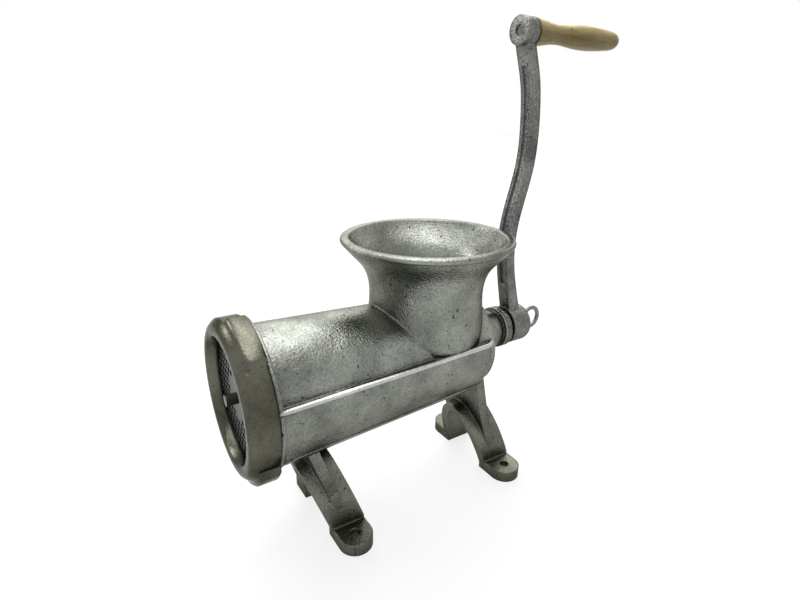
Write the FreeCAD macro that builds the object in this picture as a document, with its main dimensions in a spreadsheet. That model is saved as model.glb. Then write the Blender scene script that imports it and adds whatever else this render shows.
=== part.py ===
# Hand crank meat grinder: tinned iron body on four bolted feet, ring nut, plate,
# knife, worm and bent crank. Millimetres. Z is up, the front faces -Y, the barrel
# axis is parallel to Y and the origin lies on the bench between the foot holes.
import FreeCAD
import Part
import math
import os
import re

V = FreeCAD.Vector
doc = FreeCAD.newDocument("grinder")
sheet = doc.addObject("Spreadsheet::Sheet", "params")

SIZES = [
    ("axis_height", 133),
    ("foot_spacing_x", 86),
    ("foot_spacing_y", 160),
    ("foot_hole_radius", 4),
    ("foot_thickness", 10),
    ("foot_radius", 14),
    ("arch_half_width", 23),
    ("arch_height", 60),
    ("strap_thickness", 9),
    ("web_thickness", 8),
    ("running_fit", 0.05),
    ("seat_gap", 0.3),
    ("plate_radius", 50),
    ("plate_thickness", 9),
    ("plate_hole_radius", 2.2),
    ("plate_pitch", 6),
    ("plate_hub_radius", 15),
    ("ring_front", -158),
    ("ring_depth", 20),
    ("lip_depth", 8),
    ("mouth_radius", 46),
    ("ring_radius", 58.5),
    ("ring_lobe_step", 3.8),
    ("ring_rim_depth", 4),
    ("ring_lobe_angle", 65),
    ("head_wall", 4.5),
    ("collar_width", 3),
    ("collar_step", 2),
    ("barrel_front_radius", 50),
    ("barrel_rear_radius", 42.5),
    ("barrel_rear", 56),
    ("trough_step", 5.5),
    ("ledge_rise", 12),
    ("trough_round", 14),
    ("leg_lean", 19),
    ("knife_clearance", 1.5),
    ("barrel_wall", 8),
    ("knife_thickness", 9),
    ("knife_radius", 42),
    ("knife_wing_width", 16),
    ("worm_clearance", 1),
    ("worm_pitch", 42),
    ("worm_core_radius", 15),
    ("worm_core_rear_radius", 19),
    ("flight_thickness", 8),
    ("stud_radius", 4.2),
    ("stud_square", 12),
    ("journal_radius", 10),
    ("bush_wall", 3),
    ("neck_length", 36),
    ("neck_radius", 30),
    ("neck_end_radius", 15.5),
    ("flange_radius", 19),
    ("flange_thickness", 2.5),
    ("disc_thickness", 4.6),
    ("hub_gap", 4.5),
    ("hub_radius", 18),
    ("hub_length", 24),
    ("hub_round", 7),
    ("square_side", 13),
    ("crank_radius", 251),
    ("arm_width", 13),
    ("arm_thickness", 9.5),
    ("arm_groove_width", 6),
    ("arm_groove_depth", 1.6),
    ("boss_radius", 10.9),
    ("boss_length", 12),
    ("boss_front", 93),
    ("pin_radius", 4),
    ("pin_length", 98),
    ("rivet_recess", 1),
    ("grip_length", 106),
    ("grip_base_radius", 10.5),
    ("grip_waist_radius", 7.6),
    ("grip_belly_radius", 9.6),
    ("washer_radius", 9),
    ("washer_thickness", 1.6),
    ("eye_radius", 10),
    ("eye_wire", 2.1),
    ("eye_shank_radius", 4),
    ("eye_shank_length", 22),
    ("hopper_y", 12),
    ("rim_height", 231),
    ("rim_radius", 70),
    ("rim_thickness", 4.5),
    ("stem_radius", 47),
    ("hopper_wall", 5.5),
    ("key_radius", 2.5),
]
for row, (alias, value) in enumerate(SIZES, start=1):
    sheet.set("A%d" % row, alias)
    sheet.set("B%d" % row, str(value))
    sheet.setAlias("B%d" % row, alias)

# Places along the barrel axis, each worked out from the sizes above.
DERIVED = [
    ("plate_front", "=ring_front + lip_depth + seat_gap"),
    ("plate_back", "=plate_front + plate_thickness"),
    ("knife_back", "=plate_back + seat_gap + knife_thickness"),
    ("worm_front", "=knife_back + seat_gap"),
    ("ring_back", "=ring_front + ring_depth"),
    ("collar_front", "=ring_back + seat_gap"),
    ("barrel_front", "=collar_front + collar_width"),
    ("head_radius", "=plate_radius + running_fit + head_wall"),
    ("bore_rear", "=barrel_rear - barrel_wall"),
    ("bore_front_radius", "=barrel_front_radius - barrel_wall"),
    ("bore_rear_radius", "=barrel_rear_radius - barrel_wall"),
    ("bush_radius", "=journal_radius + bush_wall"),
    ("worm_rear", "=bore_rear - washer_thickness - 2 * seat_gap"),
    ("neck_back", "=barrel_rear + neck_length"),
    ("flange_back", "=neck_back + flange_thickness"),
    ("disc_back", "=flange_back + seat_gap + disc_thickness"),
    ("hub_front", "=disc_back + hub_gap"),
    ("hub_back", "=hub_front + hub_length"),
    ("boss_height", "=axis_height + crank_radius"),
    ("boss_back", "=boss_front + boss_length"),
    ("grip_front", "=boss_back + washer_thickness + 2 * seat_gap"),
    ("foot_x", "=foot_spacing_x / 2"),
    ("foot_y", "=foot_spacing_y / 2"),
]
for row, (alias, formula) in enumerate(DERIVED, start=len(SIZES) + 1):
    sheet.set("A%d" % row, alias)
    sheet.set("B%d" % row, formula)
    sheet.setAlias("B%d" % row, alias)
doc.recompute()


def size(alias):
    return float(sheet.get(alias))


WORD = re.compile(r"[a-z]+(?:_[a-z]+)+")
ALONG_Y = FreeCAD.Rotation(V(1, 0, 0), -90)


def ref(text):
    return WORD.sub(lambda m: "params." + m.group(0), text)


def bind(obj, prop, text):
    obj.setExpression(prop, ref(text))


def along_y(kind, name, props, y, z="axis_height", x="0"):
    obj = doc.addObject(kind, name)
    obj.Placement = FreeCAD.Placement(V(0, 0, 0), ALONG_Y)
    for prop, text in props.items():
        bind(obj, prop, text)
    bind(obj, ".Placement.Base.x", x)
    bind(obj, ".Placement.Base.y", y)
    bind(obj, ".Placement.Base.z", z)
    return obj


def cylinder(name, radius, length, y, z="axis_height", x="0"):
    return along_y("Part::Cylinder", name, {"Radius": radius, "Height": length}, y, z, x)


def cone(name, front, rear, length, y):
    return along_y("Part::Cone", name, {"Radius1": front, "Radius2": rear, "Height": length}, y)


def box(name, dx, dy, dz, x, y, z):
    obj = doc.addObject("Part::Box", name)
    for prop, text in (("Length", dx), ("Width", dy), ("Height", dz)):
        bind(obj, prop, text)
    for axis, text in (("x", x), ("y", y), ("z", z)):
        bind(obj, ".Placement.Base." + axis, text)
    return obj


def square_bar(name, side, length, y):
    low = "axis_height - (%s) / 2" % side
    return box(name, side, length, side, "0 - (%s) / 2" % side, y, low)


def fuse(name, shapes):
    obj = doc.addObject("Part::MultiFuse", name)
    obj.Shapes = shapes
    obj.Refine = True
    return obj


def cut(name, base, tools):
    obj = doc.addObject("Part::Cut", name)
    obj.Base = base
    obj.Tool = tools[0] if len(tools) == 1 else fuse(name + "_tools", tools)
    return obj


def computed(name, shape):
    obj = doc.addObject("Part::Feature", name)
    obj.Shape = shape
    return obj


def profile(points, closed=True):
    return Part.makePolygon(points + [points[0]] if closed else points)


def turned(edges_wire, base, axis, angle=360):
    return Part.Face(edges_wire).revolve(base, axis, angle)


axis_z = size("axis_height")
axis_point = V(0, 0, axis_z)
FORE_AFT = V(0, 1, 0)
UP = V(0, 0, 1)

# Barrel: tapered shell, a wider lower half that makes the side ledge, head and collar.
barrel = cone("barrel", "barrel_front_radius", "barrel_rear_radius",
              "barrel_rear - barrel_front", "barrel_front")
collar = cylinder("collar", "head_radius + collar_step", "collar_width", "collar_front")
head = cylinder("head", "head_radius", "collar_front - plate_front - lip_depth / 10",
                "plate_front + lip_depth / 10")
trough_front = size("barrel_front_radius") + size("trough_step")
trough_rear = size("barrel_rear_radius") + size("trough_step")
trough_round = size("trough_round")
trough_end = size("barrel_rear") - 2
rear_x = trough_rear - trough_round
front_start = V(0, size("collar_front") + 1, axis_z)
corner_mid = V(rear_x + trough_round * math.sin(math.pi / 4),
               trough_end - trough_round * (1 - math.cos(math.pi / 4)), axis_z)
trough_wire = Part.Wire([
    Part.LineSegment(front_start, V(trough_front, front_start.y, axis_z)).toShape(),
    Part.LineSegment(V(trough_front, front_start.y, axis_z),
                     V(trough_rear, trough_end - trough_round, axis_z)).toShape(),
    Part.Arc(V(trough_rear, trough_end - trough_round, axis_z), corner_mid,
             V(rear_x, trough_end, axis_z)).toShape(),
    Part.LineSegment(V(rear_x, trough_end, axis_z), V(0, trough_end, axis_z)).toShape(),
    Part.LineSegment(V(0, trough_end, axis_z), front_start).toShape(),
])
trough_side = Part.Face(trough_wire).extrude(V(0, 0, size("ledge_rise")))
trough_sides = [trough_side, trough_side.mirror(axis_point, V(1, 0, 0))]
trough = computed("trough", turned(trough_wire, axis_point, FORE_AFT, 180).multiFuse(trough_sides))
neck = cone("neck", "neck_radius", "neck_end_radius", "neck_length + trough_step",
            "barrel_rear - trough_step")
rear_flange = cylinder("rear_flange", "flange_radius", "flange_thickness", "neck_back")

# Hopper: straight stem that flares into a wide trumpet with a rounded rim.
rim_z = size("rim_height")
rim_r = size("rim_radius")
rim_t = size("rim_thickness")
stem_r = size("stem_radius")
hop_y = size("hopper_y")
wall = size("hopper_wall")
flare = rim_z - axis_z
outer = [
    V(stem_r + 1.0, hop_y, axis_z + 0.12 * flare),
    V(stem_r, hop_y, axis_z + 0.5 * flare),
    V(stem_r + 1.2, hop_y, axis_z + 0.65 * flare),
    V(stem_r + 6.0, hop_y, axis_z + 0.77 * flare),
    V(stem_r + 13.5, hop_y, axis_z + 0.86 * flare),
    V(rim_r - 1.5, hop_y, rim_z - rim_t),
]
inner = [V(p.x - wall, p.y, p.z + 0.35 * wall) for p in outer]
inner[0] = V(stem_r - wall - 2.0, hop_y, outer[0].z)
inner[-1] = V(rim_r - wall - 1.0, hop_y, rim_z)
outer_curve = Part.BSplineCurve()
outer_curve.interpolate(outer)
inner_curve = Part.BSplineCurve()
inner_curve.interpolate(inner)
rim_mid = V(rim_r, hop_y, rim_z - 0.5 * rim_t)
hopper_outer_wire = Part.Wire([
    Part.LineSegment(V(0, hop_y, outer[0].z), outer[0]).toShape(),
    outer_curve.toShape(),
    Part.Arc(outer[-1], rim_mid, V(rim_r - 2.0, hop_y, rim_z)).toShape(),
    Part.LineSegment(V(rim_r - 2.0, hop_y, rim_z), V(0, hop_y, rim_z)).toShape(),
    Part.LineSegment(V(0, hop_y, rim_z), V(0, hop_y, outer[0].z)).toShape(),
])
hopper_axis = V(0, hop_y, 0)
hopper_outer = computed("hopper_outer", turned(hopper_outer_wire, hopper_axis, UP))
hopper_inner_wire = Part.Wire([
    Part.LineSegment(V(0, hop_y, inner[0].z), inner[0]).toShape(),
    inner_curve.toShape(),
    Part.LineSegment(inner[-1], V(inner[-1].x, hop_y, rim_z + 1)).toShape(),
    Part.LineSegment(V(inner[-1].x, hop_y, rim_z + 1), V(0, hop_y, rim_z + 1)).toShape(),
    Part.LineSegment(V(0, hop_y, rim_z + 1), V(0, hop_y, inner[0].z)).toShape(),
])
hopper_inner = computed("hopper_inner", turned(hopper_inner_wire, hopper_axis, UP))

# Legs: two yokes, each an arched strap with round feet and a thin web above it.
foot_x = size("foot_x")
foot_y = size("foot_y")
foot_r = size("foot_radius")
foot_t = size("foot_thickness")
arch_w = size("arch_half_width")
arch_h = size("arch_height")
strap = size("strap_thickness")
web_t = size("web_thickness")


def half_ellipse(width, height, y):
    if height >= width:
        arc = Part.Ellipse(V(0, y, height), V(width, y, 0), V(0, y, 0))
    else:
        arc = Part.Ellipse(V(width, y, 0), V(0, y, height), V(0, y, 0))
    return Part.Face(Part.Wire(arc.toShape()))


def yoke(name, y):
    front = y - foot_r
    depth = V(0, 2 * foot_r, 0)
    outside = half_ellipse(arch_w + strap, arch_h + strap, front).extrude(depth)
    inside = half_ellipse(arch_w, arch_h, front).extrude(depth)
    above = Part.makeBox(400, 200 + foot_r, 300, V(-200, y - 200, 0.1 * foot_t))
    arch = outside.cut(inside)
    pads = []
    for side in (-1, 1):
        pad = Part.makeCylinder(foot_r, foot_t, V(side * foot_x, y, 0), UP)
        inner_x = arch_w + 0.12 * strap
        near = min(side * inner_x, side * foot_x)
        slab = Part.makeBox(foot_x - inner_x, 2 * foot_r, foot_t, V(near, front, 0))
        pads.append(pad.fuse(slab))
    top = axis_z - 0.3 * size("barrel_rear_radius")
    web_x = arch_w + strap
    web_points = [V(-web_x + 1, y - web_t / 2, foot_t - 1)]
    web_points.append(V(web_x - 1, y - web_t / 2, foot_t - 1))
    web_points.append(V(web_x - 4, y - web_t / 2, 0.32 * axis_z))
    web_points.append(V(web_x - 2, y - web_t / 2, 0.5 * axis_z))
    web_points.append(V(web_x + 6, y - web_t / 2, top))
    web_points += [V(-p.x, p.y, p.z) for p in reversed(web_points[2:5])]
    web = Part.Face(profile(web_points)).extrude(V(0, web_t, 0)).cut(inside)
    upper = arch.fuse(web)
    upper.rotate(V(0, y, foot_t), V(1, 0, 0), size("leg_lean"))
    return computed(name, upper.common(above).multiFuse(pads))


front_yoke = yoke("front_yoke", -foot_y)
rear_yoke = yoke("rear_yoke", foot_y)
casting_outer = fuse("casting_outer", [barrel, collar, head, trough, neck, rear_flange,
                                       hopper_outer, front_yoke, rear_yoke])
bores = [
    cone("barrel_bore", "bore_front_radius", "bore_rear_radius",
         "bore_rear - knife_back", "knife_back"),
    cylinder("head_bore", "plate_radius + running_fit", "plate_back - ring_front", "ring_front"),
    cylinder("knife_bore", "knife_radius + knife_clearance", "knife_back - ring_front", "ring_front"),
    cylinder("neck_bore", "bush_radius", "flange_back - bore_rear + 4", "bore_rear - 2"),
    hopper_inner,
    cylinder("key_slot", "key_radius + running_fit", "plate_back - ring_front", "ring_front",
             "axis_height - plate_radius"),
]
for label_x, sign_x in (("left", "-"), ("right", "")):
    for label_y, sign_y in (("front", "-"), ("rear", "")):
        hole = doc.addObject("Part::Cylinder", "foot_hole_%s_%s" % (label_y, label_x))
        bind(hole, "Radius", "foot_hole_radius")
        bind(hole, "Height", "foot_thickness * 3")
        bind(hole, ".Placement.Base.x", sign_x + "foot_x")
        bind(hole, ".Placement.Base.y", sign_y + "foot_y")
        bind(hole, ".Placement.Base.z", "-foot_thickness")
        bores.append(hole)
body_casting = cut("body_casting", casting_outer, bores)

# Ring nut with an unbroken front rim, three lobes and a coned mouth.
ring_core = cylinder("ring_core", "ring_radius", "ring_depth", "ring_front")
lobe_r = size("ring_radius") + size("ring_lobe_step")
lobe_y = size("ring_front") + size("ring_rim_depth")
lobe_length = size("ring_depth") - size("ring_rim_depth")
lobes = []
for step in range(3):
    sector = Part.makeCylinder(lobe_r, lobe_length, V(0, lobe_y, axis_z), FORE_AFT,
                               size("ring_lobe_angle"))
    begin = -(25 + 120 * step + size("ring_lobe_angle"))
    sector.rotate(axis_point, FORE_AFT, begin + 90)
    lobes.append(computed("ring_lobe_%d" % step, sector))
ring_solid = fuse("ring_solid", [ring_core] + lobes)
ring_nut = cut("ring_nut", ring_solid, [
    cone("ring_mouth", "mouth_radius", "mouth_radius - 1.5", "lip_depth", "ring_front"),
    cylinder("ring_bore", "head_radius + seat_gap", "ring_depth - lip_depth",
             "ring_front + lip_depth"),
])

# Plate with a staggered field of holes round a plain hub.
plate_disc = cylinder("plate_disc", "plate_radius", "plate_thickness", "plate_front")
plate_y = size("plate_front")
pitch = size("plate_pitch")
hole_r = size("plate_hole_radius")
field = size("mouth_radius") - 1.5 - hole_r
rows = int(field / (pitch * 0.866)) + 1
drills = []
for row in range(-rows, rows + 1):
    shift = pitch / 2 if row % 2 else 0
    for col in range(-rows - 1, rows + 2):
        at_x = col * pitch + shift
        at_z = row * pitch * 0.866
        away = math.hypot(at_x, at_z)
        if size("plate_hub_radius") + hole_r < away < field:
            drills.append(Part.makeCylinder(hole_r, size("plate_thickness") + 2,
                                            V(at_x, plate_y - 1, axis_z + at_z), FORE_AFT))
plate_holes = computed("plate_holes", Part.makeCompound(drills))
grinder_plate = cut("grinder_plate", plate_disc, [
    plate_holes,
    cylinder("plate_eye", "stud_radius + running_fit", "plate_thickness + 2", "plate_front - 1"),
    cylinder("plate_notch", "key_radius + running_fit", "plate_thickness + 2", "plate_front - 1",
             "axis_height - plate_radius"),
])
plate_key = cylinder("plate_key", "key_radius", "plate_thickness", "plate_front",
                     "axis_height - plate_radius")

# Four-wing knife on the square of the stud.
knife_hub = cylinder("knife_hub", "stud_square", "knife_thickness", "plate_back + seat_gap")
wing_a = box("wing_a", "2 * knife_radius", "knife_thickness", "knife_wing_width",
             "-knife_radius", "plate_back + seat_gap", "axis_height - knife_wing_width / 2")
wing_b = box("wing_b", "knife_wing_width", "knife_thickness", "2 * knife_radius",
             "-knife_wing_width / 2", "plate_back + seat_gap", "axis_height - knife_radius")
knife_star = fuse("knife_star", [knife_hub, wing_a, wing_b])
knife_round = cylinder("knife_round", "knife_radius", "knife_thickness", "plate_back + seat_gap")
knife_blank = doc.addObject("Part::Common", "knife_blank")
knife_blank.Base = knife_star
knife_blank.Tool = knife_round
knife = cut("knife", knife_blank, [
    square_bar("knife_square", "(stud_square + 2 * running_fit)", "knife_thickness + 2",
               "plate_back + seat_gap - 1"),
])

# Stud: round through the plate, square under the knife, round shank in the worm.
stud_front = cylinder("stud_front", "stud_radius", "plate_back - ring_front + 1",
                      "ring_front + seat_gap")
stud_mid = square_bar("stud_mid", "stud_square", "knife_back - plate_back - seat_gap",
                      "plate_back + seat_gap / 2")
stud_shank = cylinder("stud_shank", "stud_radius", "24", "knife_back - 1")
worm_stud = fuse("worm_stud", [stud_front, stud_mid, stud_shank])

# Worm: tapered core with one left-hand flight trimmed to the barrel taper.
worm_y = size("worm_front")
worm_len = size("worm_rear") - worm_y
worm_core = cone("worm_core", "worm_core_radius", "worm_core_rear_radius",
                 "worm_rear - worm_front", "worm_front")
flight_reach = size("bore_front_radius") + 4
flight_t = size("flight_thickness")
flight_len = worm_len - flight_t
low_helix = Part.makeHelix(size("worm_pitch"), flight_len, 8.0, 0, True)
high_helix = Part.makeHelix(size("worm_pitch"), flight_len, flight_reach, 0, True)
flight_face = Part.makeRuledSurface(low_helix.Edges[0], high_helix.Edges[0])
flight_solid = flight_face.extrude(V(0, 0, flight_t))
flight_solid.rotate(V(0, 0, 0), V(1, 0, 0), -90)
flight_solid.translate(V(0, worm_y, axis_z))
flight_raw = computed("flight_raw", flight_solid)
flight_trim = cone("flight_trim", "bore_front_radius - worm_clearance",
                   "bore_rear_radius - worm_clearance", "worm_rear - worm_front", "worm_front")
flight = doc.addObject("Part::Common", "flight")
flight.Base = flight_raw
flight.Tool = flight_trim
journal = cylinder("journal", "journal_radius - running_fit", "disc_back - worm_rear + 1",
                   "worm_rear - 1")
tail = square_bar("tail", "square_side", "hub_back - disc_back - 1.5", "disc_back - 0.5")
worm_solid = fuse("worm_solid", [worm_core, flight, journal, tail])
worm = cut("worm", worm_solid, [
    cylinder("stud_socket", "stud_radius + running_fit", "24", "worm_front - 1"),
    cylinder("eye_socket", "eye_shank_radius + running_fit", "eye_shank_length",
             "hub_back - eye_shank_length + 1"),
])


def washer(name, outer_text, inner_text, thickness, y, z="axis_height"):
    ring = cylinder(name + "_disc", outer_text, thickness, y, z)
    hole = cylinder(name + "_hole", inner_text, thickness + " + 2", "%s - 1" % y, z)
    return cut(name, ring, [hole])


thrust_washer = washer("thrust_washer", "worm_core_rear_radius", "journal_radius + running_fit",
                       "washer_thickness", "worm_rear + seat_gap")
rear_bush = washer("rear_bush", "bush_radius - running_fit / 2", "journal_radius",
                   "flange_back - bore_rear", "bore_rear")
shaft_collar = washer("shaft_collar", "flange_radius", "journal_radius", "disc_thickness",
                      "flange_back + seat_gap")

# Crank: round hub, bent arm with a shallow front channel, and a boss for the grip pin.
hub_mid = (size("hub_front") + size("hub_back")) / 2
hub_wire_r = size("hub_radius")
hub_round = size("hub_round")
hub_a = size("hub_front")
hub_b = size("hub_back")
turn = math.pi / 4
hub_wire = Part.Wire([
    Part.LineSegment(V(0, hub_a, axis_z), V(hub_wire_r, hub_a, axis_z)).toShape(),
    Part.LineSegment(V(hub_wire_r, hub_a, axis_z),
                     V(hub_wire_r, hub_b - hub_round, axis_z)).toShape(),
    Part.Arc(V(hub_wire_r, hub_b - hub_round, axis_z),
             V(hub_wire_r - hub_round * (1 - math.cos(turn)),
               hub_b - hub_round * (1 - math.sin(turn)), axis_z),
             V(hub_wire_r - hub_round, hub_b, axis_z)).toShape(),
    Part.LineSegment(V(hub_wire_r - hub_round, hub_b, axis_z), V(0, hub_b, axis_z)).toShape(),
    Part.LineSegment(V(0, hub_b, axis_z), V(0, hub_a, axis_z)).toShape(),
])
hub = computed("hub", turned(hub_wire, axis_point, FORE_AFT))
reach = size("crank_radius")
boss_mid = (size("boss_front") + size("boss_back")) / 2
bow = [(0.02, hub_mid - 2), (0.12, hub_mid - 8), (0.24, hub_mid - 14.5), (0.36, hub_mid - 15.5),
       (0.47, hub_mid - 10), (0.57, hub_mid - 3.5), (0.66, hub_mid - 1), (0.76, hub_mid - 2),
       (0.86, boss_mid + 11), (0.95, boss_mid + 3.5), (1.0, boss_mid)]
spine = [V(0, y, axis_z + part * reach) for part, y in bow]
arm_w = size("arm_width")
arm_t = size("arm_thickness")


def side_curve(offset):
    pts = []
    for i, p in enumerate(spine):
        ahead = spine[min(i + 1, len(spine) - 1)]
        behind = spine[max(i - 1, 0)]
        run = (ahead - behind).normalize()
        across = V(0, run.z, -run.y)
        swell = 1.0 + 0.35 * max(0.0, 1 - 6 * i / len(spine))
        pts.append(p + across * offset * swell)
    curve = Part.BSplineCurve()
    curve.interpolate(pts)
    return curve.toShape(), pts[0], pts[-1]


def arm_plate(rear, front, width):
    edge_r, low_r, high_r = side_curve(rear)
    edge_f, low_f, high_f = side_curve(front)
    wire = Part.Wire(Part.__sortEdges__([
        edge_r, edge_f,
        Part.LineSegment(low_r, low_f).toShape(),
        Part.LineSegment(high_r, high_f).toShape(),
    ]))
    face = Part.Face(wire)
    face.translate(V(-width / 2, 0, 0))
    return face.extrude(V(width, 0, 0))


arm_bar = computed("arm_bar", arm_plate(arm_t / 2, -arm_t / 2, arm_w))
groove_top = axis_z + 0.9 * reach
groove_low = axis_z + 0.17 * reach
groove_slab = arm_plate(-arm_t / 2 + size("arm_groove_depth"), -arm_t, size("arm_groove_width"))
groove_zone = Part.makeBox(100, 400, groove_top - groove_low, V(-50, -100, groove_low))
arm_groove = computed("arm_groove", groove_slab.common(groove_zone))
boss = cylinder("boss", "boss_radius", "boss_length", "boss_front", "boss_height")
arm_solid = fuse("arm_solid", [hub, arm_bar, boss])
crank_arm = cut("crank_arm", arm_solid, [
    arm_groove,
    cylinder("grip_relief", "grip_base_radius + 1", "4 * arm_thickness", "boss_back",
             "boss_height"),
    square_bar("hub_square", "(square_side + 2 * running_fit)", "hub_length + 2", "hub_front - 1"),
    cylinder("pin_hole", "pin_radius + running_fit", "boss_length + 2", "boss_front - 1",
             "boss_height"),
])

# Eye screw: threaded shank and a rigid ring in the plane of the barrel axis.
eye_washer = washer("eye_washer", "washer_radius", "eye_shank_radius + running_fit",
                    "washer_thickness", "hub_back")
eye_shank = cylinder("eye_shank", "eye_shank_radius",
                     "eye_shank_length + washer_thickness - 2",
                     "hub_back - eye_shank_length + 2")
eye_seat = cylinder("eye_seat", "eye_shank_radius + 1.5", "3", "hub_back + washer_thickness")
eye_ring = doc.addObject("Part::Torus", "eye_ring")
eye_ring.Placement = FreeCAD.Placement(V(0, 0, 0), FreeCAD.Rotation(V(0, 1, 0), 90))
bind(eye_ring, "Radius1", "eye_radius")
bind(eye_ring, "Radius2", "eye_wire")
bind(eye_ring, ".Placement.Base.y", "hub_back + washer_thickness + eye_radius + 2")
bind(eye_ring, ".Placement.Base.z", "axis_height")
eye_screw = fuse("eye_screw", [eye_shank, eye_seat, eye_ring])

# Grip: turned wood on a riveted pin.
handle_pin = cylinder("handle_pin", "pin_radius", "pin_length - rivet_recess",
                      "boss_front + rivet_recess", "boss_height")
grip_washer = washer("grip_washer", "washer_radius", "pin_radius + running_fit",
                     "washer_thickness", "boss_back + seat_gap", "boss_height")
grip_y = size("grip_front")
grip_l = size("grip_length")
boss_z = size("boss_height")
grip_base = size("grip_base_radius")
grip_waist = size("grip_waist_radius")
grip_belly = size("grip_belly_radius")
grip_points = [
    V(grip_base, grip_y, boss_z),
    V(grip_base - 0.4, grip_y + 0.05 * grip_l, boss_z),
    V(grip_waist, grip_y + 0.24 * grip_l, boss_z),
    V(0.5 * (grip_waist + grip_belly) + 0.6, grip_y + 0.46 * grip_l, boss_z),
    V(grip_belly, grip_y + 0.67 * grip_l, boss_z),
    V(grip_belly - 1.5, grip_y + 0.86 * grip_l, boss_z),
    V(0.52 * grip_belly, grip_y + 0.97 * grip_l, boss_z),
    V(0, grip_y + grip_l, boss_z),
]
grip_curve = Part.BSplineCurve()
grip_curve.interpolate(grip_points)
grip_wire = Part.Wire([
    grip_curve.toShape(),
    Part.LineSegment(grip_points[-1], V(0, grip_y, boss_z)).toShape(),
    Part.LineSegment(V(0, grip_y, boss_z), grip_points[0]).toShape(),
])
grip_blank = computed("grip_blank", turned(grip_wire, V(0, 0, boss_z), FORE_AFT))
wood_grip = cut("wood_grip", grip_blank, [
    cylinder("grip_bore", "pin_radius + running_fit", "boss_front + pin_length - grip_front + 3",
             "grip_front - 2", "boss_height"),
])

NODES = [body_casting, ring_nut, grinder_plate, plate_key, knife, worm_stud, worm, thrust_washer,
         rear_bush, shaft_collar, crank_arm, eye_washer, eye_screw, handle_pin, grip_washer,
         wood_grip]
doc.recompute()
for obj in doc.Objects:
    if "Invalid" in obj.State or "Error" in obj.State:
        raise RuntimeError("not computed: " + obj.Name)
os.makedirs("parts", exist_ok=True)
for node in NODES:
    shape = node.Shape
    if shape.isNull() or not shape.isValid() or len(shape.Solids) != 1:
        raise RuntimeError("bad solid: %s %d" % (node.Label, len(shape.Solids)))
    shape.exportStep(os.path.join("parts", node.Label + ".step"))
    corner = shape.BoundBox
    print(node.Label, round(shape.Volume / 1000, 1), [round(c, 1) for c in (
        corner.XMin, corner.XMax, corner.YMin, corner.YMax, corner.ZMin, corner.ZMax)])
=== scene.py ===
import math
import bmesh
import bpy
from mathutils import Matrix, Vector


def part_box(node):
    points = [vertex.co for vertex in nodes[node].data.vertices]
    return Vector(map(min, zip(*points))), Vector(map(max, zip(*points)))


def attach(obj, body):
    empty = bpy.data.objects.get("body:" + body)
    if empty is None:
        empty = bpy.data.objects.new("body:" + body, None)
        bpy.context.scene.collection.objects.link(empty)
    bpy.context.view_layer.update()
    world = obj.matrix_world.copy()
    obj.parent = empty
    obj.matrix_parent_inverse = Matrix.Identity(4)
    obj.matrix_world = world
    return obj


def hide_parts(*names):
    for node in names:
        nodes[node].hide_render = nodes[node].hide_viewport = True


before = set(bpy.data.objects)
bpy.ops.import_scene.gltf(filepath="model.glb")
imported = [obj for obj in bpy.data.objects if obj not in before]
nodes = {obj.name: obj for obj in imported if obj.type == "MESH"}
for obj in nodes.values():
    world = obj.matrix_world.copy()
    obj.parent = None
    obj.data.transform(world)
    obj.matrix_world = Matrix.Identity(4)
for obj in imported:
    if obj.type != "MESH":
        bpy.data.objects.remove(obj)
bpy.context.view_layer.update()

scene = bpy.context.scene

# All lengths are in metres, and angles around the barrel are in degrees from +X.
TINY = 0.0001

# CAD nodes: edges sharper than SHARP stay hard, and those over BEVEL_FROM are softened by SOFT_EDGE.
SHARP = math.radians(32)
BEVEL_FROM = math.radians(40)
SOFT_EDGE = {"body_casting": 0.0011, "ring_nut": 0.0009, "crank_arm": 0.0024, "shaft_collar": 0.0006}

# Cast finish.
CLOUD_SCALE, STONE_SCALE, SPECK_SCALE, BROAD_SCALE = 26.0, 580.0, 330.0, 55.0
BROAD_DEPTH, STONE_DEPTH, FINE_DEPTH = 0.0014, 0.0007, 0.0006
# Reach of the painted shade in recesses.
SHADE_REACH = 0.02
# Below the heights, painted shade darkens the colour by this tone towards the bottom, and the roughness rises
# by this much.
LOW_SHADE_TONE = (0.5, 0.5, 0.44)
DULL_ROUGH = 0.16
SHADE_AND_DULL_HEIGHTS = (0.025, 0.13)
CAST_RIM = (0.5, 0.5, 0.47, 1.0)

# Front ring: three lobes, and a nose that is coned over its depth by its step.
LOBE_PITCH = 120.0
LOBE_START = 45.0
LOBE_WIDTH = 45.0
LOBE_END = 3.0
NOSE_DEPTH = 0.005
NOSE_STEP = 0.0055
RING_STEPS = 360
RING_SHARP = math.radians(50)

# Mould lines on the body casting.
LEDGE_Z = 0.145
LEDGE_FRONT = -0.1369
BEAD_INSET = 0.001
LEDGE_BEAD = 0.0022
SEAM_BEAD = 0.0011
SEAM_ANGLE = math.radians(36)

# Stage.
FLOOR_SPAN = 10.0
FLOOR_DROP = 0.0003
FLOOR_PALE = (0.24, 0.24, 0.237, 1)
FLOOR_GLOW = 0.8
FLOOR_DIM = (0.19, 0.19, 0.165, 1)
WHITE = (1, 1, 1, 1)
BRIGHT_SIDE = Vector((-0.55, 0.3, 0.78)).normalized()
FILL_STRENGTH = 0.35
FILL_STOPS = [(0.15, 0.05), (0.5, 0.16), (0.7, 0.74), (0.88, 1.0)]
LAMPS = [  # name, place, aim, size, watts
    ("behind", (-3.85, 2.45, 3.5), (0, 0, 0.15), 6.6, 330.0),
    ("above", (-0.15, -0.1, 1.5), (0, 0, 0.15), 1.4, 17.0),
    ("front", (-0.9, -0.75, 0.75), (0, 0, 0.22), 0.4, 3.0),
]

# Camera fitted to the photograph: a close, wide view from the right front.
FOCAL_PX = 512.8
WIDTH_PX = 800.0
SENSOR_MM = 36.0
CLIP_START = 0.01
PITCH = math.radians(20.72)
HEADING = math.radians(33.18)
ROLL = math.radians(0.96)
PLACE = Vector((0.3248, -0.2257, 0.3275))


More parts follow.
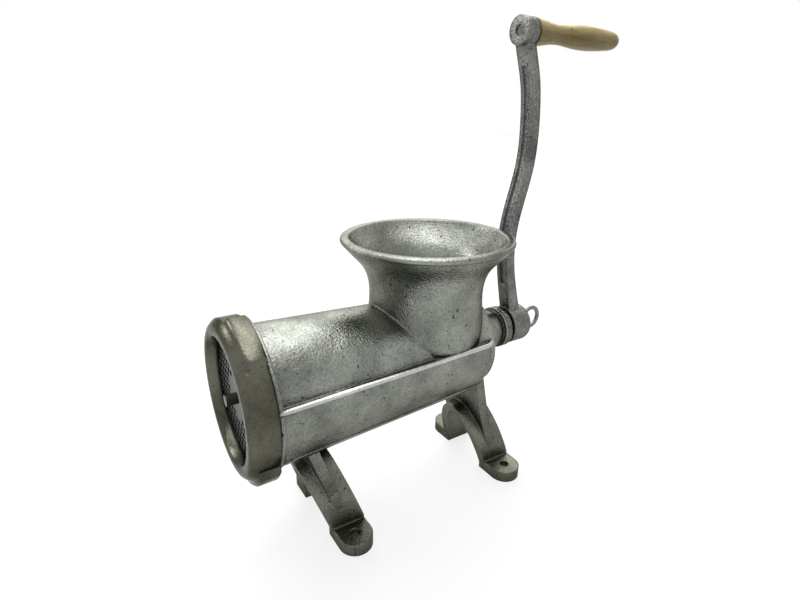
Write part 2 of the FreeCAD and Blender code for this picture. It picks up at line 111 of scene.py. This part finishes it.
def noise(tree, coords, scale, detail=6.0, rough=0.6):
    node = tree.nodes.new("ShaderNodeTexNoise")
    node.inputs["Scale"].default_value = scale
    node.inputs["Detail"].default_value = detail
    node.inputs["Roughness"].default_value = rough
    tree.links.new(coords, node.inputs["Vector"])
    return node.outputs["Fac"]


def ramp(tree, source, stops):
    """A colour ramp on source; each stop is a place and a grey value or a colour."""
    node = tree.nodes.new("ShaderNodeValToRGB")
    elements = node.color_ramp.elements
    while len(elements) < len(stops):
        elements.new(0.5)
    for element, (place, value) in zip(elements, stops):
        element.position = place
        shade = value if isinstance(value, tuple) else (value, value, value)
        element.color = (*shade, 1.0)
    tree.links.new(source, node.inputs["Fac"])
    return node.outputs["Color"]


def mix(tree, factor, first, second, kind="MIX"):
    """A colour mix; each of factor, first and second is a socket or a plain value."""
    node = tree.nodes.new("ShaderNodeMix")
    node.data_type = "RGBA"
    node.blend_type = kind
    sockets = (node.inputs[0], node.inputs[6], node.inputs[7])
    for value, socket in zip((factor, first, second), sockets):
        if hasattr(value, "links"):
            tree.links.new(value, socket)
        else:
            socket.default_value = value
    return node.outputs[2]


def multiply(tree, factor, first, second):
    return mix(tree, factor, first, second, "MULTIPLY")


def start(name):
    """A new material with its node tree, its shader and the object coordinates."""
    material = bpy.data.materials.new(name)
    material.use_nodes = True
    tree = material.node_tree
    coords = tree.nodes.new("ShaderNodeTexCoord").outputs["Object"]
    return material, tree, tree.nodes["Principled BSDF"], coords


def bump(tree, shader, height, strength, distance, below=None):
    """Bump the shader's normal by height, on top of the normal below."""
    node = tree.nodes.new("ShaderNodeBump")
    node.inputs["Strength"].default_value = strength
    node.inputs["Distance"].default_value = distance
    tree.links.new(height, node.inputs["Height"])
    if below is not None:
        tree.links.new(below, node.inputs["Normal"])
    tree.links.new(node.outputs["Normal"], shader.inputs["Normal"])
    return node.outputs["Normal"]


def cast_metal(name, dark, light, roughness, grain, depth, pits=0.6, pebbles=0.6, shade_and_dull=None,
               corner=0.0025, hollow_shade=0.45):
    """Sand-cast iron: cloudy tone, pebbled grain and dark pits, with painted shade that darkens the colour in
    recesses, and below the given heights painted shade that darkens it towards the bottom, where it is also
    rougher.
    """
    material, tree, shader, coords = start(name)
    cloud = noise(tree, coords, CLOUD_SCALE, 4.0)
    fine = noise(tree, coords, grain, 4.0, 0.65)
    stones = noise(tree, coords, STONE_SCALE, 2.0)
    speck = noise(tree, coords, SPECK_SCALE, 2.0, 0.5)
    tone = mix(tree, ramp(tree, cloud, [(0.36, 0.0), (0.64, 1.0)]), (*dark, 1), (*light, 1))
    tone = multiply(tree, 0.5, tone, ramp(tree, fine, [(0.32, 0.45), (0.6, 1.0)]))
    tone = multiply(tree, pebbles, tone, ramp(tree, stones, [(0.36, 0.56), (0.58, 1.0)]))
    tone = multiply(tree, 1.0, tone, ramp(tree, speck, [(0.29, 1.0 - pits), (0.325, 1.0)]))
    # Painted shade: the colour darkens in recesses and corners, where the ambient occlusion is low.
    hollow = tree.nodes.new("ShaderNodeAmbientOcclusion")
    hollow.inputs["Distance"].default_value = SHADE_REACH
    painted_shade = ramp(tree, hollow.outputs["AO"], [(0.35, hollow_shade), (0.85, 1.0)])
    tone = multiply(tree, 1.0, tone, painted_shade)
    gloss = ramp(tree, fine, [(0.3, roughness + 0.12), (0.7, roughness - 0.08)])
    # Painted shade: the colour darkens towards the bottom, and the surface gets rougher there.
    if shade_and_dull:
        height = tree.nodes.new("ShaderNodeSeparateXYZ")
        tree.links.new(coords, height.inputs["Vector"])
        wear_and_shade = tree.nodes.new("ShaderNodeMapRange")
        wear_and_shade.inputs["From Min"].default_value, wear_and_shade.inputs["From Max"].default_value = shade_and_dull
        tree.links.new(height.outputs["Z"], wear_and_shade.inputs["Value"])
        level = wear_and_shade.outputs["Result"]
        tone = multiply(tree, 1.0, tone, ramp(tree, level, [(0.0, LOW_SHADE_TONE), (1.0, 1.0)]))
        gloss = mix(tree, 1.0, gloss, ramp(tree, level, [(0.0, DULL_ROUGH), (1.0, 0.0)]), "ADD")
    tree.links.new(tone, shader.inputs["Base Color"])
    tree.links.new(gloss, shader.inputs["Roughness"])
    shader.inputs["Metallic"].default_value = 1.0
    shader.inputs["Specular Tint"].default_value = CAST_RIM
    rounded = tree.nodes.new("ShaderNodeBevel")
    rounded.samples = 6
    rounded.inputs["Radius"].default_value = corner
    swell = noise(tree, coords, BROAD_SCALE, 3.0)
    broad = bump(tree, shader, swell, 0.35, BROAD_DEPTH, rounded.outputs["Normal"])
    pebble = bump(tree, shader, stones, pebbles, STONE_DEPTH, broad)
    bump(tree, shader, fine, depth, FINE_DEPTH, pebble)
    return material


def turned_steel(name, tone, roughness):
    """Turned steel or bronze with a fine, uneven polish."""
    material, tree, shader, coords = start(name)
    fine = noise(tree, coords, 900.0)
    patch = ramp(tree, noise(tree, coords, 60.0), [(0.3, 0.0), (0.7, 1.0)])
    wear_and_shade = (tone * 0.65, tone * 0.65, tone * 0.62, 1)
    clean = (tone, tone, tone * 0.98, 1)
    gloss = ramp(tree, fine, [(0.3, roughness - 0.08), (0.7, roughness + 0.12)])
    tree.links.new(mix(tree, patch, wear_and_shade, clean), shader.inputs["Base Color"])
    tree.links.new(gloss, shader.inputs["Roughness"])
    shader.inputs["Metallic"].default_value = 0.9
    bump(tree, shader, fine, 0.25, 0.0002)
    return material


def drilled_steel(name, tone, roughness):
    """Turned steel whose drilled walls, which face across the axis, are darkened: painted shade in the holes.
    """
    material = turned_steel(name, tone, roughness)
    tree = material.node_tree
    shader = tree.nodes["Principled BSDF"]
    facing = tree.nodes.new("ShaderNodeSeparateXYZ")
    tree.links.new(tree.nodes["Texture Coordinate"].outputs["Normal"], facing.inputs["Vector"])
    along = tree.nodes.new("ShaderNodeMath")
    along.operation = "ABSOLUTE"
    tree.links.new(facing.outputs["Y"], along.inputs[0])
    face = shader.inputs["Base Color"].links[0].from_socket
    # Painted shade: walls facing across the axis are darkened.
    hole_shade = ramp(tree, along.outputs["Value"], [(0.3, 0.06), (0.7, 1.0)])
    tree.links.new(multiply(tree, 1.0, face, hole_shade), shader.inputs["Base Color"])
    return material


def turned_wood(name):
    """Pale varnished hardwood with long grain, dark flecks and small knots."""
    material, tree, shader, coords = start(name)
    stretch = tree.nodes.new("ShaderNodeMapping")
    stretch.inputs["Scale"].default_value = (1.0, 0.07, 1.0)
    tree.links.new(coords, stretch.inputs["Vector"])
    grain = noise(tree, stretch.outputs["Vector"], 420.0, 6.0, 0.65)
    fleck = noise(tree, stretch.outputs["Vector"], 1500.0, 2.0)
    knot = noise(tree, coords, 190.0, 2.0, 0.5)
    tone = ramp(tree, grain, [
        (0.25, (0.3, 0.215, 0.072)), (0.5, (0.55, 0.415, 0.152)), (0.75, (0.68, 0.535, 0.225)),
    ])
    tone = multiply(tree, 0.7, tone, ramp(tree, fleck, [(0.28, 0.45), (0.4, 1.0)]))
    tone = multiply(tree, 1.0, tone, ramp(tree, knot, [(0.27, 0.35), (0.32, 1.0)]))
    tree.links.new(tone, shader.inputs["Base Color"])
    tree.links.new(ramp(tree, grain, [(0.3, 0.5), (0.7, 0.36)]), shader.inputs["Roughness"])
    bump(tree, shader, grain, 0.2, 0.0004)
    return material


def matt_fibre(name):
    """Red-brown pressed fibre."""
    material, tree, shader, coords = start(name)
    fine = noise(tree, coords, 700.0)
    tone = ramp(tree, fine, [(0.3, (0.22, 0.06, 0.04)), (0.7, (0.36, 0.12, 0.08))])
    tree.links.new(tone, shader.inputs["Base Color"])
    tree.links.new(ramp(tree, fine, [(0.3, 0.6), (0.7, 0.8)]), shader.inputs["Roughness"])
    bump(tree, shader, fine, 0.3, 0.0003)
    return material


body_metal = cast_metal(
    "tinned_casting", dark=(0.185, 0.193, 0.172), light=(0.345, 0.357, 0.325),
    roughness=0.17, grain=1100.0, depth=0.25, pits=0.85, shade_and_dull=SHADE_AND_DULL_HEIGHTS)
# Painted highlight: a much lighter copy of the cast finish, with little painted shade, for the ledge beads.
highlight_bead_metal = cast_metal(
    "bead_painted_highlight", dark=(0.5, 0.51, 0.49), light=(0.66, 0.67, 0.65),
    roughness=0.2, grain=1300.0, depth=0.2, pits=0.2, pebbles=0.3, hollow_shade=0.9)
ring_metal = cast_metal(
    "ring_casting", dark=(0.06, 0.06, 0.046), light=(0.14, 0.139, 0.11),
    roughness=0.14, grain=1100.0, depth=0.15, pits=0.4, pebbles=0.25)
arm_metal = cast_metal(
    "arm_casting", dark=(0.135, 0.14, 0.13), light=(0.28, 0.288, 0.272),
    roughness=0.19, grain=1100.0, depth=0.35, pits=0.75, pebbles=0.95, corner=0.004)
worm_metal = cast_metal(
    "worm_casting", dark=(0.36, 0.36, 0.34), light=(0.56, 0.56, 0.54),
    roughness=0.42, grain=700.0, depth=0.4)
plate_metal = drilled_steel("plate_finish", tone=0.1, roughness=0.36)
bright_metal = turned_steel("bright_finish", tone=0.24, roughness=0.3)
stud_metal = turned_steel("stud_finish", tone=0.09, roughness=0.36)
bronze = turned_steel("bush_finish", tone=0.4, roughness=0.4)
wood = turned_wood("grip_finish")
fibre = matt_fibre("fibre_finish")

FINISH = {
    "body_casting": body_metal, "ring_nut": ring_metal, "grinder_plate": plate_metal,
    "plate_key": bright_metal, "knife": plate_metal, "worm_stud": stud_metal,
    "worm": worm_metal, "thrust_washer": fibre, "rear_bush": bronze,
    "shaft_collar": arm_metal, "crank_arm": arm_metal, "eye_washer": bright_metal,
    "eye_screw": bright_metal, "handle_pin": stud_metal, "grip_washer": bright_metal,
    "wood_grip": wood,
}
for name, obj in nodes.items():
    obj.data.materials.clear()
    obj.data.materials.append(FINISH[name])
    obj.data.shade_smooth()
    obj.data.set_sharp_from_angle(angle=SHARP)
    if name in SOFT_EDGE:
        edge = obj.modifiers.new("soft_edge", "BEVEL")
        edge.width = SOFT_EDGE[name]
        edge.segments = 2
        edge.limit_method = "ANGLE"
        edge.angle_limit = BEVEL_FROM
        edge.harden_normals = False

plate_low, plate_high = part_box("grinder_plate")
AXIS_Z = (plate_low.z + plate_high.z) / 2


def lobe_height(angle):
    """Share of the grip lobe's height at an angle from +X: three lobes with soft ends."""
    within = (angle - LOBE_START) % LOBE_PITCH
    rise = max(0.0, min(1.0, min(within, LOBE_WIDTH - within) / LOBE_END))
    return rise * rise * (3.0 - 2.0 * rise)


def ring_section():
    """The ring's section as y, radius and share of the lobe, read from the CAD ring, and the lobe's height."""
    low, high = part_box("ring_nut")
    front, back = low.y, high.y
    radii = [(v.co.y, math.hypot(v.co.x, v.co.z - AXIS_Z)) for v in nodes["ring_nut"].data.vertices]
    mouth = min(r for y, r in radii if y < front + TINY)
    bore = min(r for y, r in radii if y > back - TINY)
    lip_back, lip = max((y, r) for y, r in radii if r < mouth - TINY)
    outer = min(r for y, r in radii if y < front + TINY and r > bore)
    crest = max(r for y, r in radii)
    nose = front + NOSE_DEPTH
    section = [
        # lip and rounded mouth
        (lip_back, lip, 0), (front + 0.001, mouth, 0), (front, mouth + 0.001, 0),
        # coned nose
        (front, outer - NOSE_STEP, 0), (front + 0.0008, outer - NOSE_STEP + 0.0018, 0),
        (nose - 0.001, outer - 0.0006, 0), (nose, outer, 0),
        # outside, where the lobes rise, and rounded rear rim
        (nose + 0.0006, outer, 0.7), (nose + 0.002, outer, 1), (back - 0.0012, outer, 1),
        (back, outer - 0.0012, 1),
        # bore
        (back, bore, 0), (lip_back, bore, 0),
    ]
    return section, crest - outer


def cast_ring():
    """The front ring as cast: a coned nose, rounded rims and three grip lobes, inside the CAD ring."""
    section, lobe = ring_section()
    shape = bmesh.new()
    rows = []
    for step in range(RING_STEPS):
        angle = 360.0 * step / RING_STEPS
        rise = lobe * lobe_height(angle)
        across, upward = math.cos(math.radians(angle)), math.sin(math.radians(angle))
        row = []
        for y, radius, share in section:
            reach = radius + share * rise
            row.append(shape.verts.new((reach * across, y, AXIS_Z + reach * upward)))
        rows.append(row)
    for step, row in enumerate(rows):
        ahead = rows[(step + 1) % RING_STEPS]
        for k in range(len(section)):
            n = (k + 1) % len(section)
            shape.faces.new((row[k], row[n], ahead[n], ahead[k]))
    bmesh.ops.recalc_face_normals(shape, faces=shape.faces)
    mesh = bpy.data.meshes.new("cast_ring")
    shape.to_mesh(mesh)
    shape.free()
    mesh.shade_smooth()
    mesh.set_sharp_from_angle(angle=RING_SHARP)
    mesh.materials.append(ring_metal)
    piece = bpy.data.objects.new("cast_ring", mesh)
    scene.collection.objects.link(piece)
    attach(piece, "ring")
    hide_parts("ring_nut")


def cast_bead(name, points, radius, finish):
    """A raised line left by the mould, along points on the body casting."""
    curve = bpy.data.curves.new(name, "CURVE")
    curve.dimensions = "3D"
    curve.bevel_depth = radius
    curve.bevel_resolution = 3
    curve.use_fill_caps = True
    line = curve.splines.new("POLY")
    line.points.add(len(points) - 1)
    for knot, place in zip(line.points, points):
        knot.co = (*place, 1.0)
    curve.materials.append(finish)
    piece = bpy.data.objects.new(name, curve)
    scene.collection.objects.link(piece)
    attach(piece, "body")


def ledge_edge(side):
    """Points along the outer edge of the body's ledge, front to rear: the hull of its flat top in plan."""
    top = sorted((v.co.y, v.co.x) for v in nodes["body_casting"].data.vertices
                 if abs(v.co.z - LEDGE_Z) < TINY / 10 and v.co.x > 0)
    edge = []
    for y, x in top:
        while len(edge) > 1:
            (y0, x0), (y1, x1) = edge[-2:]
            if (x1 - x0) * (y - y0) > (x - x0) * (y1 - y0):
                break
            edge.pop()
        edge.append((y, x))
    return [Vector((side * (x - BEAD_INSET), y, LEDGE_Z)) for y, x in edge if y > LEDGE_FRONT]


def trough_seam(side):
    """Points of the lower mould seam, an angle below the axis on the trough, which is as wide as the ledge."""
    across, down = math.cos(SEAM_ANGLE), math.sin(SEAM_ANGLE)
    radii = [(p.y, abs(p.x) + BEAD_INSET) for p in ledge_edge(side)]
    return [Vector((side * r * across, y, AXIS_Z - r * down)) for y, r in radii]


cast_ring()
for side, label in ((1, "right"), (-1, "left")):
    # The ledge beads take the lighter finish, a painted highlight along the ledge edge.
    cast_bead("ledge_bead_" + label, ledge_edge(side), LEDGE_BEAD, highlight_bead_metal)
    cast_bead("seam_bead_" + label, trough_seam(side), SEAM_BEAD, body_metal)


def background_rays(tree):
    """1 for the rays that see the white background: from the camera, off gloss and through glass."""
    rays = tree.nodes.new("ShaderNodeLightPath")
    seen = rays.outputs["Is Camera Ray"]
    for kind in ("Is Glossy Ray", "Is Transmission Ray"):
        either = tree.nodes.new("ShaderNodeMath")
        either.operation = "MAXIMUM"
        tree.links.new(seen, either.inputs[0])
        tree.links.new(rays.outputs[kind], either.inputs[1])
        seen = either.outputs["Value"]
    return seen


def pale_floor():
    """A floor that looks white, keeps the shadow and throws little light back up."""
    bpy.ops.mesh.primitive_plane_add(size=FLOOR_SPAN, location=(0, 0, -FLOOR_DROP))
    floor = bpy.context.object
    floor.name = "floor"
    paper = bpy.data.materials.new("floor_finish")
    paper.use_nodes = True
    tree = paper.node_tree
    tree.nodes.clear()
    pale = tree.nodes.new("ShaderNodeBsdfDiffuse")
    pale.inputs["Color"].default_value = FLOOR_PALE
    glow = tree.nodes.new("ShaderNodeEmission")
    glow.inputs["Strength"].default_value = FLOOR_GLOW
    both = tree.nodes.new("ShaderNodeAddShader")
    tree.links.new(pale.outputs["BSDF"], both.inputs[0])
    tree.links.new(glow.outputs["Emission"], both.inputs[1])
    dim = tree.nodes.new("ShaderNodeBsdfDiffuse")
    dim.inputs["Color"].default_value = FLOOR_DIM
    choose = tree.nodes.new("ShaderNodeMixShader")
    tree.links.new(background_rays(tree), choose.inputs["Fac"])
    tree.links.new(dim.outputs["BSDF"], choose.inputs[1])
    tree.links.new(both.outputs["Shader"], choose.inputs[2])
    surface = tree.nodes.new("ShaderNodeOutputMaterial")
    tree.links.new(choose.outputs["Shader"], surface.inputs["Surface"])
    floor.data.materials.append(paper)


def surroundings():
    """White where the background is seen, and for other rays a soft fill from the bright side."""
    world = bpy.data.worlds.new("surroundings")
    scene.world = world
    world.use_nodes = True
    tree = world.node_tree
    tree.nodes.clear()
    seen = tree.nodes.new("ShaderNodeBackground")
    seen.inputs["Color"].default_value = WHITE
    fill = tree.nodes.new("ShaderNodeBackground")
    fill.inputs["Strength"].default_value = FILL_STRENGTH
    toward = tree.nodes.new("ShaderNodeVectorMath")
    toward.operation = "DOT_PRODUCT"
    toward.inputs[1].default_value = BRIGHT_SIDE
    tree.links.new(tree.nodes.new("ShaderNodeTexCoord").outputs["Generated"], toward.inputs[0])
    share = tree.nodes.new("ShaderNodeMapRange")
    share.inputs["From Min"].default_value = -1.0
    tree.links.new(toward.outputs["Value"], share.inputs["Value"])
    tree.links.new(ramp(tree, share.outputs["Result"], FILL_STOPS), fill.inputs["Color"])
    pick = tree.nodes.new("ShaderNodeMixShader")
    tree.links.new(background_rays(tree), pick.inputs["Fac"])
    tree.links.new(fill.outputs["Background"], pick.inputs[1])
    tree.links.new(seen.outputs["Background"], pick.inputs[2])
    out = tree.nodes.new("ShaderNodeOutputWorld")
    tree.links.new(pick.outputs["Shader"], out.inputs["Surface"])


def area_light(name, place, aim, size, power):
    data = bpy.data.lights.new(name, "AREA")
    data.size = size
    data.energy = power
    lamp = bpy.data.objects.new(name, data)
    scene.collection.objects.link(lamp)
    lamp.location = place
    lamp.rotation_euler = (Vector(aim) - Vector(place)).to_track_quat("-Z", "Y").to_euler()


def fitted_camera():
    ahead = Vector((-math.cos(HEADING), math.sin(HEADING), 0.0))
    forward = math.cos(PITCH) * ahead + Vector((0.0, 0.0, -math.sin(PITCH)))
    level = Vector((math.sin(HEADING), math.cos(HEADING), 0.0))
    upright = level.cross(forward)
    right = math.cos(ROLL) * level + math.sin(ROLL) * upright
    up = math.cos(ROLL) * upright - math.sin(ROLL) * level
    data = bpy.data.cameras.new("view")
    data.sensor_width = SENSOR_MM
    data.lens = SENSOR_MM * FOCAL_PX / WIDTH_PX
    data.clip_start = CLIP_START
    camera = bpy.data.objects.new("view", data)
    scene.collection.objects.link(camera)
    turn = Matrix((right, up, -forward)).transposed().to_4x4()
    camera.matrix_world = Matrix.Translation(PLACE) @ turn
    scene.camera = camera


pale_floor()
surroundings()
for lamp_row in LAMPS:
    area_light(*lamp_row)
fitted_camera()
scene.view_settings.view_transform = "Standard"
